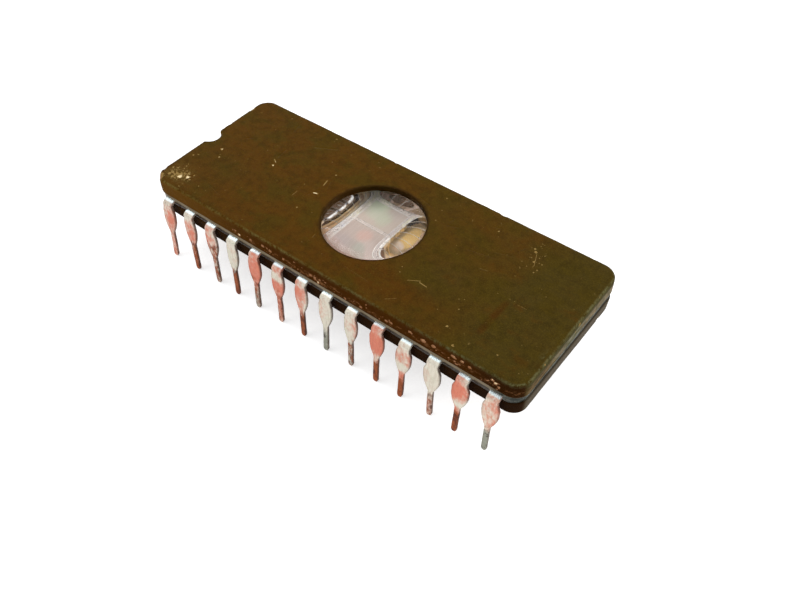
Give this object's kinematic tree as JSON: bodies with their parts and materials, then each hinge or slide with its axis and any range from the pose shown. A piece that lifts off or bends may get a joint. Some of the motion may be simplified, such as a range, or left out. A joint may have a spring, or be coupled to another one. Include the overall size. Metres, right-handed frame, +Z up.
{
  "type": "eprom chip",
  "caption": "Windowed ceramic dual in-line memory chip: brown ceramic lid and base sealed with glass round a leadframe, a quartz lens over the die, and bent teardrop leads.",
  "frame": {"origin": "centre of the footprint, on the plane of the lead tips", "axes": "+X along the package away from the index notch, +Y towards the lead row that is on the far side in the picture, +Z up through the window"},
  "size_m": [0.0368, 0.016, 0.0077],
  "materials": {
    "ceramic": "satin fired ceramic, dark olive brown",
    "window_glass": "clear polished",
    "sealing_glass": "glossy grey glass frit",
    "gold": "fired gold",
    "silicon": "polished silicon under passivation glass",
    "lead_metal": "tinned iron-nickel strip, dull and tarnished",
    "bond_wire": "bright drawn wire"
  },
  "bodies": {
    "root": {"ceramic_base": "ceramic", "ceramic_lid": "ceramic", "window_lens": "window_glass", "sealing_glass": "sealing_glass", "die_attach_layer": "gold", "silicon_die": "silicon", "lead_01": "lead_metal", "lead_02": "lead_metal", "lead_03": "lead_metal", "lead_04": "lead_metal", "lead_05": "lead_metal", "lead_06": "lead_metal", "lead_07": "lead_metal", "lead_08": "lead_metal", "lead_09": "lead_metal", "lead_10": "lead_metal", "lead_11": "lead_metal", "lead_12": "lead_metal", "lead_13": "lead_metal", "lead_14": "lead_metal", "lead_15": "lead_metal", "lead_16": "lead_metal", "lead_17": "lead_metal", "lead_18": "lead_metal", "lead_19": "lead_metal", "lead_20": "lead_metal", "lead_21": "lead_metal", "lead_22": "lead_metal", "lead_23": "lead_metal", "lead_24": "lead_metal", "lead_25": "lead_metal", "lead_26": "lead_metal", "lead_27": "lead_metal", "lead_28": "lead_metal", "bond_wires_notch_end": "bond_wire", "bond_wires_far_end": "bond_wire", "bond_wires_front": "bond_wire", "bond_wires_back": "bond_wire"}
  },
  "joints": []
}
